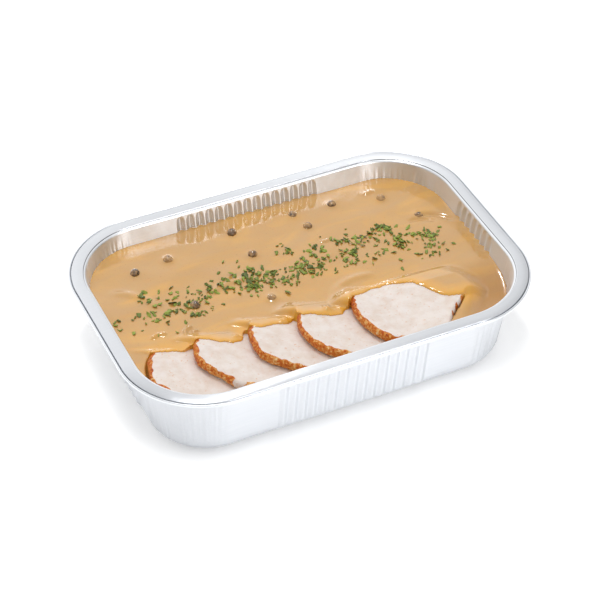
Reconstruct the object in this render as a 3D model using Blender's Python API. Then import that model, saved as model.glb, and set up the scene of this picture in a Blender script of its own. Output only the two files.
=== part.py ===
"""Foil tray meal: overlapping roast meat slices in a cream and peppercorn sauce, in a rimmed aluminium tray.

+X runs along the tray's long side and +Y across it, away from the meat slices.
The origin is the middle of the tray's flat bottom. Plan sizes are in millimetres and are scaled by MM.
"""

import math
import random

import bmesh
import bpy
from mathutils import Matrix, Vector, noise

MM = 0.001
FLAT_ANGLE = math.radians(0.3)

# Tray, measured over the curled edge.
LENGTH = 227.0
WIDTH = 155.5
HEIGHT = 48.0
CORNER_RADIUS = 46.0
FOIL = 0.5
CURL_WIDTH = 1.6
FLANGE_WIDTH = 7.3
WALL_SLOPE = 0.153
BASE_FILLET = 8.7
CORNER_STEPS = 8

# Stiffening ribs pressed outwards, in the middle of each side.
RIB_PITCH = 5.6
RIB_DEPTH = 1.0
LONG_SIDE_RIBS = 15
SHORT_SIDE_RIBS = 7
RIB_TOP_BELOW_RIM = 2.0
RIB_FULL_BELOW_RIM = 5.5
RIB_SECTION = ((0.0, 0.0), (0.33, 1.0), (0.67, 1.0))

# The tray's mouth: the inner edge of the flat flange.
MOUTH_X = LENGTH / 2 - CURL_WIDTH - FLANGE_WIDTH
MOUTH_Y = WIDTH / 2 - CURL_WIDTH - FLANGE_WIDTH
MOUTH_RADIUS = CORNER_RADIUS - CURL_WIDTH - FLANGE_WIDTH

# Meat slices leaning on each other, as (left edge, half width, middle y, bluntness of the far left side,
# bluntness of the near left side, the y up to which the left side is bare).
GAP = 0.3
SLICES = (
    (-99.5, 29.5, -36.5, 2.1, 2.1, -18.5),
    (-73.5, 30.5, -37.0, 2.4, 1.6, -20.0),
    (-43.5, 30.0, -37.5, 2.4, 1.7, -20.0),
    (-17.0, 30.5, -37.5, 2.4, 2.1, -22.6),
    (14.5, 32.0, -39.5, 2.4, 2.4, -30.0),
)
SLICE_HALF_LENGTH = 27.5
SLICE_THICKNESS = 5.8
SLICE_TOP = 42.3
SLICE_ROUNDING = 1.5
SLICE_STEP = SLICE_THICKNESS + GAP
SLICE_SLOPE = (len(SLICES) - 1) * SLICE_STEP / (SLICES[-1][0] - SLICES[0][0])
FAR_END_FOLDS = ((-27.0, 0.22), (-18.5, 0.28))
LAST_SLICE_BEND = 12.0
LAST_SLICE_END_SLOPE = 0.04
OUTLINE_STEPS = 26
FAR_RIGHT_SIDE = 2.0
NEAR_RIGHT_SIDE = 1.25
LAST_NEAR_RIGHT_SIDE = 1.12

# Sauce.
SAUCE_LEVEL = 36.4
SAUCE_COVER = 1.3
SAUCE_UNDER_MEAT = 3.0
RIDGE_SHORT_REACH = 0.04
RIDGE_LONG_REACH = 0.42
RIDGE_CLIMB = 9.0
RIDGE_RIGHT_POWER = 1.8
LAST_SLICE_BARE_RIM = 1.6
SAUCE_COLUMN_WIDTH = 4.8
SAUCE_ROWS = ((-74.0, 4), (-50.0, 14), (-6.0, 13), (74.0, 0))
SAUCE_EDGE_SLOPE = 5.0
SAUCE_WAVE = 0.7
LOW_CORNER = (92.0, -52.0)
LOW_CORNER_DEPTH = 6.5
LOW_CORNER_REACH = 34.0
SAUCE_EDGE = (
    (-104.0, -18.0), (-93.0, -19.0), (-86.0, -18.5), (-75.0, -22.5), (-71.0, -20.0), (-65.0, -20.0),
    (-56.0, -26.0), (-50.0, -28.5), (-44.0, -27.5), (-40.0, -20.5), (-37.0, -24.5), (-26.0, -24.5),
    (-18.0, -26.5), (-14.0, -22.5), (-11.0, -28.5), (-5.0, -28.0), (3.5, -31.5), (14.0, -29.0),
    (19.0, -24.5), (33.0, -20.0), (48.0, -22.5), (54.0, -25.5), (61.0, -37.5), (66.0, -43.0), (78.0, -43.5),
)

# Peppercorns, as (x, y, how far the middle stands above the sauce).
PEPPERCORN_RADIUS = 2.6
PEPPERCORNS = (
    (-75.0, 45.0, 0.4), (-55.0, 48.0, -0.4), (-15.0, 55.0, 0.4), (-12.0, 34.0, -0.2), (25.0, 43.5, -0.5),
    (45.0, 55.5, -0.9), (21.5, 56.0, -1.5), (72.0, 49.0, -1.2), (84.5, 28.0, -1.2), (-56.0, 8.0, 0.9),
    (-17.5, -3.0, -1.6),
)

# Chopped parsley, scattered along a band.
PARSLEY_SEED = 11
PARSLEY_COUNT = 110
PARSLEY_BAND = (
    (-88.0, 13.0), (-57.0, 10.0), (-36.0, 16.0), (-20.0, 14.5), (-4.0, 10.5), (14.0, 17.0), (38.0, 18.5), (60.0, 25.0),
    (72.0, 13.0), (88.0, 9.0),
)
PARSLEY_BAND_SPREAD = 5.5
PARSLEY_SIZES = (5.0, 2.4)
PARSLEY_THICKNESS = 0.5

COLOURS = {
    "aluminium": ((0.80, 0.82, 0.85, 1.0), 0.35, 1.0),
    "cream_sauce": ((0.68, 0.42, 0.19, 1.0), 0.30, 0.0),
    "roast_meat": ((0.82, 0.71, 0.65, 1.0), 0.60, 0.0),
}


def clear_scene():
    for obj in list(bpy.data.objects):
        bpy.data.objects.remove(obj, do_unlink=True)


def new_collection(name):
    collection = bpy.data.collections.new(name)
    bpy.context.scene.collection.children.link(collection)
    return collection


def material(name):
    """A plain Principled material in the part's colour."""
    colour, roughness, metallic = COLOURS[name]
    made = bpy.data.materials.new(name)
    made.use_nodes = True
    shader = made.node_tree.nodes["Principled BSDF"]
    shader.inputs["Base Color"].default_value = colour
    shader.inputs["Roughness"].default_value = roughness
    shader.inputs["Metallic"].default_value = metallic
    return made


def object_from(bm, name, collection, finish=None):
    """A new object from a bmesh in millimetres, scaled to metres."""
    bmesh.ops.scale(bm, vec=(MM, MM, MM), verts=bm.verts)
    mesh = bpy.data.meshes.new(name)
    bm.to_mesh(mesh)
    bm.free()
    obj = bpy.data.objects.new(name, mesh)
    collection.objects.link(obj)
    if finish:
        mesh.materials.append(finish)
    return obj


def smoothstep(value):
    value = max(0.0, min(1.0, value))
    return value * value * (3 - 2 * value)


def between(points, x):
    """The y of a line through (x, y) points, level beyond its ends."""
    if x <= points[0][0]:
        return points[0][1]
    for (x0, y0), (x1, y1) in zip(points, points[1:]):
        if x <= x1:
            return y0 + (y1 - y0) * smoothstep((x - x0) / (x1 - x0))
    return points[-1][1]


def loft(bm, rings):
    """Joins rings of equally many points with quads, closes both ends and merges what lies in one plane."""
    made = [[bm.verts.new(point) for point in ring] for ring in rings]
    for lower, upper in zip(made, made[1:]):
        for i in range(len(lower)):
            j = (i + 1) % len(lower)
            bm.faces.new((lower[i], lower[j], upper[j], upper[i]))
    bm.faces.new(reversed(made[0]))
    bm.faces.new(made[-1])
    bmesh.ops.recalc_face_normals(bm, faces=bm.faces)
    bmesh.ops.dissolve_limit(bm, angle_limit=FLAT_ANGLE, verts=bm.verts, edges=bm.edges)


# Tray


def tray_outline(grow, z, rib=0.0):
    """The tray's rounded oblong at one height, grown from the mouth, with ribs of a share of the full depth."""
    half = (MOUTH_X, MOUTH_Y)
    points = []
    for side in range(4):
        angle = side * math.pi / 2
        outward = Vector((math.cos(angle), math.sin(angle)))
        along = Vector((-outward.y, outward.x))
        reach, run = (half[0], half[1]) if side % 2 == 0 else (half[1], half[0])
        ribs = SHORT_SIDE_RIBS if side % 2 == 0 else LONG_SIDE_RIBS
        for index in range(ribs):
            for place, share in RIB_SECTION:
                step = (index + place - ribs / 2) * RIB_PITCH
                points.append(outward * (reach + grow + share * rib * RIB_DEPTH) + along * step)
        points.append(outward * (reach + grow) + along * ribs / 2 * RIB_PITCH)
        centre = outward * (reach - MOUTH_RADIUS) + along * (run - MOUTH_RADIUS)
        for step in range(CORNER_STEPS + 1):
            turn = angle + math.pi / 2 * step / CORNER_STEPS
            points.append(centre + Vector((math.cos(turn), math.sin(turn))) * (MOUTH_RADIUS + grow))
    return [(point.x, point.y, z) for point in points]


def wall_grow(z):
    """How far the inner face of the sloping wall stands outside the mouth at a height."""
    return -(HEIGHT - z) * WALL_SLOPE


def wall_rings(skin):
    """(grow, z, rib) from the floor up to the rim. Skin is 0 on the inner face and FOIL on the outer one."""
    floor = FOIL - skin
    radius = BASE_FILLET - floor
    foot = wall_grow(BASE_FILLET) + skin
    rings = []
    for degrees, rib in ((0, 0.0), (35, 0.0), (65, 0.8), (90, 1.0)):
        turn = math.radians(degrees)
        rings.append((foot - radius * (1 - math.sin(turn)), floor + radius * (1 - math.cos(turn)), rib))
    for below, rib in ((RIB_FULL_BELOW_RIM, 1.0), (RIB_TOP_BELOW_RIM, 0.0)):
        rings.append((wall_grow(HEIGHT - below) + skin, HEIGHT - below, rib))
    return rings


def rim_rings():
    """(grow, z, rib) of the flange and its curled edge, from under the flange round to the mouth."""
    edge = FLANGE_WIDTH
    curl_radius = 0.75
    curl = (edge + CURL_WIDTH - curl_radius, HEIGHT - 1.05)
    rings = [(0.5, HEIGHT - 1.0), (1.1, HEIGHT - FOIL), (edge - 0.3, HEIGHT - FOIL), (edge - 0.2, HEIGHT - 1.2)]
    for degrees in (-110, -50, 10, 70, 130):
        turn = math.radians(degrees)
        rings.append((curl[0] + curl_radius * math.cos(turn), curl[1] + curl_radius * math.sin(turn)))
    rings += [(edge + 0.05, HEIGHT - 0.6), (edge - 0.2, HEIGHT), (0.6, HEIGHT), (0.1, HEIGHT - 0.2)]
    return [(grow, z, 0.0) for grow, z in rings]


def make_tray(collection):
    """One sheet of foil, drawn into a tray with ribbed walls, a flat sealing flange and a curled edge."""
    bm = bmesh.new()
    rings = wall_rings(FOIL) + rim_rings() + list(reversed(wall_rings(0.0)))
    loft(bm, [tray_outline(*ring) for ring in rings])
    return object_from(bm, "tray", collection, material("aluminium"))


# Meat


def far_end_drop(y):
    """How far the slices have sunk into the sauce at a place across the tray, in folds that add up."""
    return sum(slope * max(0.0, y - fold) for fold, slope in FAR_END_FOLDS)


def slice_top(index, x):
    """The height of a slice's upper face. Every slice leans on the one to its left; the last one bends level."""
    height = SLICE_TOP + index * SLICE_STEP - (x - SLICES[0][0]) * SLICE_SLOPE
    if index == len(SLICES) - 1:
        past = max(0.0, x - SLICES[index][0] - LAST_SLICE_BEND)
        height += past * (SLICE_SLOPE - LAST_SLICE_END_SLOPE) * smoothstep(past / 20)
    return height


def side_power(index, across, along):
    """How square a slice's outline is on the side that a direction points to."""
    if across < 0:
        return SLICES[index][3] if along > 0 else SLICES[index][4]
    if along > 0:
        return FAR_RIGHT_SIDE
    return LAST_NEAR_RIGHT_SIDE if index == len(SLICES) - 1 else NEAR_RIGHT_SIDE


def slice_outline(index, grow):
    """Plan points of a slice: a blunt left side, and a far and a near right side that taper more."""
    rng = random.Random(100 + index)
    ripple = [(order, rng.uniform(0.3, 0.8), rng.uniform(0, math.tau)) for order in (3, 5, 7)]
    left, half_width, middle_y = SLICES[index][:3]
    centre = (left + half_width, middle_y)
    points = []
    for step in range(OUTLINE_STEPS):
        turn = math.tau * step / OUTLINE_STEPS
        c, s = math.cos(turn), math.sin(turn)
        power = side_power(index, c, s)
        reach = (abs(c) ** power + abs(s) ** power) ** (-1 / power)
        wobble = sum(size * math.sin(order * turn + phase) for order, size, phase in ripple) - 0.6
        x = c * (reach * half_width + wobble + grow)
        y = s * (reach * SLICE_HALF_LENGTH + wobble + grow)
        points.append((centre[0] + x, centre[1] + y))
    return centre, points


def slice_mesh(index, grow=0.0):
    """A closed slice, or with grow the larger shape that the sauce leaves free for it."""
    centre, outline = slice_outline(index, grow)
    rounded = 1 - SLICE_ROUNDING / SLICES[index][1]
    levels = [
        (0.35, -SLICE_THICKNESS - grow),
        (rounded, -SLICE_THICKNESS - grow),
        (1.0, -SLICE_THICKNESS + SLICE_ROUNDING),
        (1.0, -SLICE_ROUNDING),
        (rounded, grow),
        (0.7, grow),
        (0.35, grow),
    ]
    bm = bmesh.new()
    rings = []
    for share, drop in levels:
        ring = []
        for x, y in outline:
            px = centre[0] + (x - centre[0]) * share
            py = centre[1] + (y - centre[1]) * share
            ring.append((px, py, slice_top(index, px) + drop))
        rings.append(ring)
    loft(bm, rings)
    for fold, _slope in FAR_END_FOLDS:
        everything = bm.verts[:] + bm.edges[:] + bm.faces[:]
        bmesh.ops.bisect_plane(bm, geom=everything, plane_co=(0, fold, 0), plane_no=(0, 1, 0))
    for vert in bm.verts:
        vert.co.z -= far_end_drop(vert.co.y)
    bmesh.ops.triangulate(bm, faces=bm.faces)
    return bm


def make_slices(collection):
    finish = material("roast_meat")
    for index in range(len(SLICES)):
        object_from(slice_mesh(index), f"meat_slice_{index + 1}", collection, finish)


# Sauce


def meat_under(x, y):
    """(top, share, beside) of the slices at a place in plan: a slice's share is 1 over it and falls to 0 beside it.

    Beside is 1 past the right side of the last slice, where the sauce slopes up to it.
    """
    found = []
    for index, (left, half_width, middle_y, _far, _near, bare_to) in enumerate(SLICES):
        across = (x - left - half_width) / half_width
        along = (y - middle_y) / SLICE_HALF_LENGTH
        right_of_last = across > 0 and index == len(SLICES) - 1
        power = side_power(index, across, along)
        if not right_of_last:
            power = max(power, RIDGE_RIGHT_POWER)
        size = (abs(across) ** power + abs(along) ** power) ** (1 / power)
        climb = 1.0 if right_of_last else smoothstep((y - bare_to) / RIDGE_CLIMB)
        reach = RIDGE_SHORT_REACH + (RIDGE_LONG_REACH - RIDGE_SHORT_REACH) * climb
        share = smoothstep((0.96 + 0.06 * climb + reach - size) / reach)
        if share > 0:
            beside = smoothstep((size - 0.96) / 0.04) if right_of_last else 0.0
            found.append((slice_top(index, x) - far_end_drop(y), share, beside))
    return found


def sauce_height(x, y):
    """The sauce's surface: level, lumpy, drawn over the far ends of the slices and low in the near right corner."""
    low = math.hypot(x - LOW_CORNER[0], y - LOW_CORNER[1])
    level = SAUCE_LEVEL - LOW_CORNER_DEPTH * smoothstep(1 - low / LOW_CORNER_REACH) - 0.006 * x
    level += SAUCE_WAVE * noise.noise(Vector((x * 0.035, y * 0.045, 3.7)))
    meat = meat_under(x, y)
    if not meat:
        return level
    covered = smoothstep((y - between(SAUCE_EDGE, x)) / SAUCE_EDGE_SLOPE + 0.5)
    beside = max(beside for _top, _share, beside in meat)
    cover = SAUCE_COVER - (SAUCE_COVER + LAST_SLICE_BARE_RIM) * beside * (1 - covered)
    over = max(level + max(0.0, top + cover - level) * share for top, share, _beside in meat)
    lowest = min(level, *(top for top, _share, _beside in meat))
    under = lowest - SAUCE_UNDER_MEAT * max(share for _top, share, _beside in meat)
    return under + (over - under) * max(covered, beside)


def sauce_surface(collection):
    """A block whose upper face is the sauce's surface, with its rows closest together over the slices."""
    rows = []
    for (start, count), (end, _next_count) in zip(SAUCE_ROWS, SAUCE_ROWS[1:]):
        rows += [start + (end - start) * step / count for step in range(count)]
    rows.append(SAUCE_ROWS[-1][0])
    columns = round(2 * MOUTH_X / SAUCE_COLUMN_WIDTH) + 2
    bm = bmesh.new()
    bmesh.ops.create_grid(bm, x_segments=columns, y_segments=len(rows) - 1, size=0.5)
    for vert in bm.verts:
        x = vert.co.x * columns * SAUCE_COLUMN_WIDTH
        y = rows[round((vert.co.y + 0.5) * (len(rows) - 1))]
        vert.co = (x, y, sauce_height(x, y))
    made = bmesh.ops.extrude_face_region(bm, geom=bm.faces[:])
    for element in made["geom"]:
        if isinstance(element, bmesh.types.BMVert):
            element.co.z = -5.0
    bmesh.ops.triangulate(bm, faces=bm.faces)
    bmesh.ops.recalc_face_normals(bm, faces=bm.faces)
    return object_from(bm, "sauce_surface", collection)


def sauce_body(collection):
    """The room inside the tray's walls, a gap clear of the foil, up to above the sauce."""
    bm = bmesh.new()
    rings = []
    for grow, z, _rib in wall_rings(0.0):
        lifted = z + GAP if z < BASE_FILLET - 0.1 else z
        rings.append(tray_outline(grow - GAP, min(lifted, HEIGHT - 1.0)))
    loft(bm, rings)
    return object_from(bm, "cream_sauce", collection, material("cream_sauce"))


def parsley_place(rng):
    """A random spot in the band, thinned where the real scatter is thin."""
    while True:
        x = rng.uniform(PARSLEY_BAND[0][0], PARSLEY_BAND[-1][0])
        y = between(PARSLEY_BAND, x) + rng.gauss(0, PARSLEY_BAND_SPREAD)
        crowd = 0.6 + 0.4 * math.sin((x + 62) / 8.0)
        if rng.random() < crowd:
            return x, y


def add_parsley(collection):
    """Chips of chopped leaf, the largest first, each tilted and partly sunk in the sauce."""
    rng = random.Random(PARSLEY_SEED)
    largest, smallest = PARSLEY_SIZES
    for number in range(PARSLEY_COUNT):
        x, y = parsley_place(rng)
        size = largest + (smallest - largest) * number / PARSLEY_COUNT
        bm = bmesh.new()
        bmesh.ops.create_cone(
            bm, cap_ends=True, segments=4, radius1=size / 2, radius2=size / 2.3, depth=PARSLEY_THICKNESS
        )
        narrow = Matrix.Diagonal((1.0, rng.uniform(0.45, 0.8), 1.0, 1.0))
        tilt = Matrix.Rotation(rng.uniform(-0.5, 0.5), 4, "X") @ Matrix.Rotation(rng.uniform(-0.3, 0.3), 4, "Y")
        turn = Matrix.Rotation(rng.uniform(0, math.tau), 4, "Z")
        place = Matrix.Translation((x, y, sauce_height(x, y) + 0.12))
        bm.transform(place @ turn @ tilt @ narrow)
        object_from(bm, f"parsley_{number}", collection)


def add_peppercorns(collection):
    for number, (x, y, proud) in enumerate(PEPPERCORNS):
        bm = bmesh.new()
        bmesh.ops.create_icosphere(bm, subdivisions=2, radius=PEPPERCORN_RADIUS)
        bm.transform(Matrix.Translation((x, y, sauce_height(x, y) + proud)))
        object_from(bm, f"peppercorn_{number}", collection)


def apply_boolean(obj, operation, solver, other=None, collection=None):
    """Cuts or joins with one object or a collection, applies it and removes what was used."""
    step = obj.modifiers.new(operation.lower(), "BOOLEAN")
    step.operation = operation
    step.solver = solver
    if collection:
        step.operand_type = "COLLECTION"
        step.collection = collection
    else:
        step.object = other
    graph = bpy.context.evaluated_depsgraph_get()
    made = bpy.data.meshes.new_from_object(obj.evaluated_get(graph))
    obj.modifiers.clear()
    obj.data = made
    for used in list(collection.objects) if collection else [other]:
        bpy.data.objects.remove(used, do_unlink=True)


def keep_largest_body(obj):
    """Drops the loose scraps that a cut leaves beside the main body."""
    bm = bmesh.new()
    bm.from_mesh(obj.data)
    left = set(bm.verts)
    bodies = []
    while left:
        body, edge = set(), [left.pop()]
        while edge:
            vert = edge.pop()
            body.add(vert)
            for link in vert.link_edges:
                other = link.other_vert(vert)
                if other in left:
                    left.remove(other)
                    edge.append(other)
        bodies.append(body)
    bodies.sort(key=len)
    for body in bodies[:-1]:
        bmesh.ops.delete(bm, geom=list(body), context="VERTS")
    bm.to_mesh(obj.data)
    bm.free()


def make_sauce(collection):
    """Sauce poured round and over the slices, with peppercorns and parsley joined to it."""
    cutters = new_collection("sauce_cutters")
    toppings = new_collection("toppings")
    sauce = sauce_body(collection)
    apply_boolean(sauce, "INTERSECT", "EXACT", other=sauce_surface(cutters))
    for index in range(len(SLICES)):
        object_from(slice_mesh(index, grow=GAP), f"slice_room_{index + 1}", cutters)
    apply_boolean(sauce, "DIFFERENCE", "EXACT", collection=cutters)
    keep_largest_body(sauce)
    add_peppercorns(toppings)
    add_parsley(toppings)
    apply_boolean(sauce, "UNION", "MANIFOLD", collection=toppings)
    keep_largest_body(sauce)
    for spare in (cutters, toppings):
        bpy.data.collections.remove(spare)


def main():
    clear_scene()
    meal = new_collection("foil_tray_meal")
    make_tray(meal)
    make_slices(meal)
    make_sauce(meal)
    for obj in meal.objects:
        for polygon in obj.data.polygons:
            polygon.use_smooth = True
        obj.data.set_sharp_from_angle(angle=math.radians(35))


main()
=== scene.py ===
"""Foil tray meal: looks for the tray, the meat slices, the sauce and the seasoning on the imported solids."""

import math
import random

import bmesh
import bpy
import numpy as np
from mathutils import Matrix, Vector, geometry, noise


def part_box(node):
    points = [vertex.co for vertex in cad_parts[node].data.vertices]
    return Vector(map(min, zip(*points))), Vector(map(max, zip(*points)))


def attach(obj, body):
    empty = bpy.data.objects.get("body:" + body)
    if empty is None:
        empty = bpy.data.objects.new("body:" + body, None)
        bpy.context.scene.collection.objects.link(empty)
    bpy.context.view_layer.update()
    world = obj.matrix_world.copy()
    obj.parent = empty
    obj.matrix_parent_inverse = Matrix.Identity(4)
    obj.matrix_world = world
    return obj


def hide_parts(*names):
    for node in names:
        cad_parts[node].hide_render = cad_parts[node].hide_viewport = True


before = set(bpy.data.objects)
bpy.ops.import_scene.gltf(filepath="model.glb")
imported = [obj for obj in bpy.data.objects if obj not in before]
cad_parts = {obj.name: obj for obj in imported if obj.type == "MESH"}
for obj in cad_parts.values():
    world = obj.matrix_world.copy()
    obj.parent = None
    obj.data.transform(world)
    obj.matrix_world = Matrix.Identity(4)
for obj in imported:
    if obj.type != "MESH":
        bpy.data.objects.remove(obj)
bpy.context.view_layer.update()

# Tray.
# One sheet of soft aluminium foil, drawn over a die into a tray with a flat sealing flange.
# The press also forms the ribs in the middle of each wall, and the edge is rolled under into a bead.

MM = 0.001
tray_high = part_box("tray")[1]
REACH_X = tray_high[0] / MM
REACH_Y = tray_high[1] / MM
HEIGHT = tray_high[2] / MM
CORNER_RADIUS = 46.0
FOIL = 0.5
WALL_SLOPE = 0.153
WALL_ROWS_BELOW_RIM = (34, 29, 24, 20, 16, 13, 10.5, 8.5, 7, 6, 5.2, 4.6, 4.1, 3.6, 3.1, 2.6, 2.1, 1.6, 1.1)
BASE_FILLET = 8.7
RIB_PITCH = 5.6
RIB_DEPTH = 1.2
LONG_SIDE_RIBS = 15
SHORT_SIDE_RIBS = 7
RIB_TOP_BELOW_RIM = 1.9
RIB_TOP_ROUND = 1.2
RIB_ARCH = 4.2
RIB_FOOT = 2.0
RIB_FOOT_ROUND = 5.0
RIB_SECTION = (
    (0.0, 0.0), (0.03, 0.0), (0.06, 0.01), (0.1, 0.08), (0.18, 0.31), (0.3, 0.63), (0.4, 0.9), (0.45, 0.99),
    (0.5, 1.0), (0.55, 0.99), (0.6, 0.9), (0.7, 0.63), (0.82, 0.31), (0.9, 0.08), (0.94, 0.01), (0.97, 0.0),
    (1.0, 0.0),
)
STEPS_IN_A_CORNER = 84
WRINKLE_DEPTH = 0.52
WRINKLES_PER_MM = 0.75
WRINKLE_LEAN = 0.02
WRINKLE_TOP_BELOW_RIM = 2.5
WRINKLE_TOP_FADE = 8.0
WRINKLE_FOOT = 1.0
WRINKLE_FOOT_FADE = 6.0
FLANGE_WIDTH = 7.3
FLANGE_TOP = ((3.8, 0.0), (1.66, 0.0))
FLANGE_UNDERSIDE = ((0.75, -1.05), (1.7, -0.95), (2.3, -FOIL))
MOUTH_STEP = (
    (1.3, -0.03), (1.18, -0.12), (1.1, -0.3), (1.04, -0.5), (0.9, -0.58), (0.6, -0.6), (0.3, -0.7),
    (0.1, -0.86),
)
CURL_WIDTH = 1.6
CURL_RADIUS = 0.52
CURL_DROP = 0.75
CURL_INSIDE = (
    (-0.6, -FOIL), (-0.45, -0.8), (-0.4, -1.5), (-0.1, -1.8), (1.3, -1.8), (1.52, -1.68), (CURL_WIDTH, -1.4),
)
CURL_GROOVE = (
    (0.54, -1.3), (0.42, -1.45), (0.18, -1.45), (0.08, -1.3), (0.04, -0.45), (-0.06, -0.14), (-0.3, 0.0),
)
# How much painted shade darkens the foil towards dark grey: on the walls, on the flange, in the mouth's step
# and the groove by the bead, on the sides and near the two front corners.
WALL_PAINTED_SHADE = 0.07
FLANGE_PAINTED_SHADE = 0.2
STEP_PAINTED_SHADE = 0.7
GROOVE_PAINTED_SHADE = 0.55
SIDES_PAINTED_SHADE = 0.1
NEAR_LEFT_WALL_PAINTED_SHADE = 1.4
NEAR_LEFT_RIM_PAINTED_SHADE = 0.9
NEAR_RIGHT_WALL_PAINTED_SHADE = 1.2
NEAR_RIGHT_RIM_PAINTED_SHADE = 0.2
MOUTH_X = REACH_X - CURL_WIDTH - FLANGE_WIDTH
MOUTH_Y = REACH_Y - CURL_WIDTH - FLANGE_WIDTH
MOUTH_RADIUS = CORNER_RADIUS - CURL_WIDTH - FLANGE_WIDTH


def smoothstep(value):
    value = np.clip(value, 0.0, 1.0)
    return value * value * (3 - 2 * value)


def rib_wave(phase):
    """A rib's section, from 0 in the flat groove to 1 on the narrow crest, with straight flanks."""
    return np.interp(phase, *zip(*RIB_SECTION))


def mouth_outline():
    """Stations round the mouth: x, y, outward x, outward y, rib wave, rib phase, corner share, way round."""
    stations = []
    for side in range(4):
        angle = side * math.pi / 2
        outward = Vector((math.cos(angle), math.sin(angle)))
        along = Vector((-outward.y, outward.x))
        reach, run = (MOUTH_X, MOUTH_Y) if side % 2 == 0 else (MOUTH_Y, MOUTH_X)
        ribs = SHORT_SIDE_RIBS if side % 2 == 0 else LONG_SIDE_RIBS
        zone = ribs * RIB_PITCH / 2
        straight = run - MOUTH_RADIUS
        places = list(np.linspace(-straight, -zone, 4)[:-1])
        for rib in range(ribs):
            places += [(rib + phase) * RIB_PITCH - zone for phase, _depth in RIB_SECTION[:-1]]
        places.append(zone)
        places += list(np.linspace(zone, straight, 4)[1:])
        for place in places:
            phase = ((place + zone) / RIB_PITCH + 1e-6) % 1.0 if abs(place) < zone - 1e-4 else 0.0
            spot = outward * reach + along * place
            stations.append((spot.x, spot.y, outward.x, outward.y, rib_wave(phase), phase, 0.0))
        centre = outward * (reach - MOUTH_RADIUS) + along * straight
        for step in range(1, STEPS_IN_A_CORNER):
            share = step / STEPS_IN_A_CORNER
            turn = angle + math.pi / 2 * share
            way = Vector((math.cos(turn), math.sin(turn)))
            spot = centre + way * MOUTH_RADIUS
            stations.append((spot.x, spot.y, way.x, way.y, 0.0, 0.0, math.sin(math.pi * share)))
    stations = np.array(stations + stations[:1])
    steps = np.hypot(*np.diff(stations[:, :2], axis=0).T)
    return np.column_stack([stations, np.concatenate([[0], np.cumsum(steps)])])


def wall_grow(z):
    """How far the wall's inner face stands outside the mouth at a height."""
    return -(HEIGHT - z) * WALL_SLOPE


def wall_section(skin):
    """(grow, z, share of the rib and wrinkle depth) from the floor up to just under the rim."""
    floor = FOIL - skin
    radius = BASE_FILLET - floor
    foot = wall_grow(BASE_FILLET) + skin
    section = []
    for degrees in range(0, 91, 15):
        turn = math.radians(degrees)
        section.append((foot - radius * (1 - math.sin(turn)), floor + radius * (1 - math.cos(turn)), 1.0))
    for below in WALL_ROWS_BELOW_RIM:
        section.append((wall_grow(HEIGHT - below) + skin, HEIGHT - below, 1.0))
    return section


def rim_section():
    """(grow, z, 0) from under the flange, round the rolled bead and over the flange to the mouth."""
    section = list(FLANGE_UNDERSIDE)
    section += [(FLANGE_WIDTH + past, drop) for past, drop in CURL_INSIDE]
    for degrees in range(0, 181, 20):
        turn = math.radians(degrees)
        across = FLANGE_WIDTH + CURL_WIDTH - CURL_RADIUS + CURL_RADIUS * math.cos(turn)
        section.append((across, CURL_RADIUS * math.sin(turn) - CURL_DROP))
    section += [(FLANGE_WIDTH + past, drop) for past, drop in CURL_GROOVE]
    section += FLANGE_TOP + MOUTH_STEP
    return [(grow, HEIGHT + drop, 0.0) for grow, drop in section]


def noise_at(points, scale):
    """Smooth noise, -1 to 1, at an array of points in mm, with bumps about one scale wide."""
    return np.array([noise.noise(Vector(point) / scale) for point in points])


def grid_piece(name, columns, rows, points):
    """A sheet of columns by rows quads whose vertices are then drawn to their places, given in mm."""
    bpy.ops.object.select_all(action="DESELECT")
    bpy.ops.mesh.primitive_grid_add(x_subdivisions=columns, y_subdivisions=rows, size=1)
    piece = bpy.context.object
    piece.name = name
    piece.data.name = name
    piece.data.vertices.foreach_set("co", (np.asarray(points, dtype=float) * MM).ravel())
    piece.data.update()
    return piece


def set_attribute(mesh, name, values):
    """Gives each point of a mesh a value that its material reads."""
    mesh.attributes.new(name, "FLOAT", "POINT").data.foreach_set("value", values)


def close_tray_floor():
    """Joins the sheet's two ends and fills the floor's inner and outer face."""
    bpy.ops.object.mode_set(mode="EDIT")
    bpy.ops.mesh.select_all(action="SELECT")
    bpy.ops.mesh.remove_doubles(threshold=1e-6)
    bpy.ops.mesh.select_all(action="DESELECT")
    bpy.ops.mesh.select_mode(type="EDGE")
    bpy.ops.mesh.select_non_manifold()
    bpy.ops.mesh.fill_holes(sides=0)
    bpy.ops.mesh.select_all(action="SELECT")
    bpy.ops.mesh.normals_make_consistent(inside=False)
    bpy.ops.object.mode_set(mode="OBJECT")


def linear(colour):
    """A #RRGGBB colour as linear red, green, blue and alpha."""
    shares = [int(colour[i:i + 2], 16) / 255 for i in (1, 3, 5)]
    return [s / 12.92 if s <= 0.04045 else ((s + 0.055) / 1.055) ** 2.4 for s in shares] + [1.0]


def add(tree, kind, inputs=None, stops=(), **settings):
    """Adds a node with its settings. An input given as a node and its output is linked. Stops fill a ramp."""
    made = tree.nodes.new(kind)
    for key, value in settings.items():
        setattr(made, key, value)
    for key, value in (inputs or {}).items():
        if isinstance(value, tuple) and isinstance(value[0], bpy.types.Node):
            tree.links.new(value[0].outputs[value[1]], made.inputs[key])
        else:
            made.inputs[key].default_value = value
    if stops:
        first, *between, last = stops
        for end, (position, colour) in zip(made.color_ramp.elements, (first, last)):
            end.position = position
            end.color = linear(colour)
        for position, colour in between:
            made.color_ramp.elements.new(position).color = linear(colour)
    return made


def new_material(name):
    """An empty material with its Principled shader and the object's own coordinates."""
    made = bpy.data.materials.new(name)
    made.use_nodes = True
    tree = made.node_tree
    shader = tree.nodes["Principled BSDF"]
    return made, tree, shader, add(tree, "ShaderNodeTexCoord")


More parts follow.
